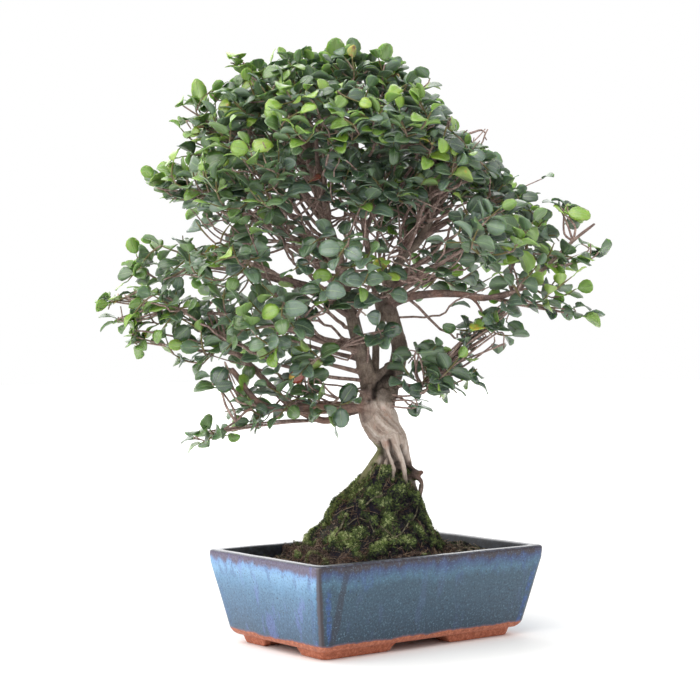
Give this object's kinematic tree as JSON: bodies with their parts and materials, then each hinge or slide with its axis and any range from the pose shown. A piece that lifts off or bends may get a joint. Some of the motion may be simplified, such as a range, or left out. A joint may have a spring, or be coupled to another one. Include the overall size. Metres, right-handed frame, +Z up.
{
  "type": "sageretia bonsai",
  "caption": "Potted bonsai tree with a thick forked trunk on a mossy root mound, a rounded crown of small oval leaves, and a rectangular glazed pot on corner feet.",
  "frame": {"origin": "middle of the whole object's bounding box in plan, on the surface that the pot's feet stand on", "axes": "+Z up; X along the pot's long side; -Y out of the pot's long front side. The tree's own front is turned about 39 degrees from the pot's, towards -X -Y"},
  "size_m": [0.4106, 0.3566, 0.5201],
  "materials": {
    "glazed_ceramic": "mottled blue glaze, gloss, over an unglazed orange-brown foot",
    "screen_plastic": "matte",
    "soil": "rough, fibrous",
    "moss": "rough, tufted",
    "bark": "rough grey-brown bark",
    "foliage": "satin green leaves on thin brown twigs"
  },
  "bodies": {
    "root": {"pot": "glazed_ceramic", "drain_screen_left": "screen_plastic", "drain_screen_right": "screen_plastic", "soil": "soil", "moss": "moss", "trunk": "bark", "spray_crown_left": "foliage", "spray_crown_middle": "foliage", "spray_crown_top": "foliage", "spray_crown_right": "foliage", "spray_crown_front_left": "foliage", "spray_crown_front_right": "foliage", "spray_crown_back_left": "foliage", "spray_crown_back_right": "foliage", "spray_shoulder_left": "foliage", "spray_shoulder_left_back": "foliage", "spray_shoulder_right": "foliage", "spray_shoulder_right_front": "foliage", "spray_shoulder_right_back": "foliage", "spray_left_upper": "foliage", "spray_left_upper_front": "foliage", "spray_left_upper_back": "foliage", "spray_right_upper": "foliage", "spray_right_outer": "foliage", "spray_right_outer_back": "foliage", "spray_right_front": "foliage", "spray_right_back_low": "foliage", "spray_right_low": "foliage", "spray_right_hanging": "foliage", "spray_right_hanging_tip": "foliage", "spray_left_middle": "foliage", "spray_left_inner_front": "foliage", "spray_left_back": "foliage", "spray_centre_front": "foliage", "spray_left_tip": "foliage", "spray_left_low_front": "foliage", "spray_left_low_back": "foliage", "spray_centre_low_left": "foliage", "spray_left_low": "foliage", "spray_left_lowest": "foliage", "spray_near_trunk": "foliage", "spray_left_drooping": "foliage", "spray_centre_upper_front": "foliage", "spray_centre_upper_back": "foliage"}
  },
  "joints": []
}
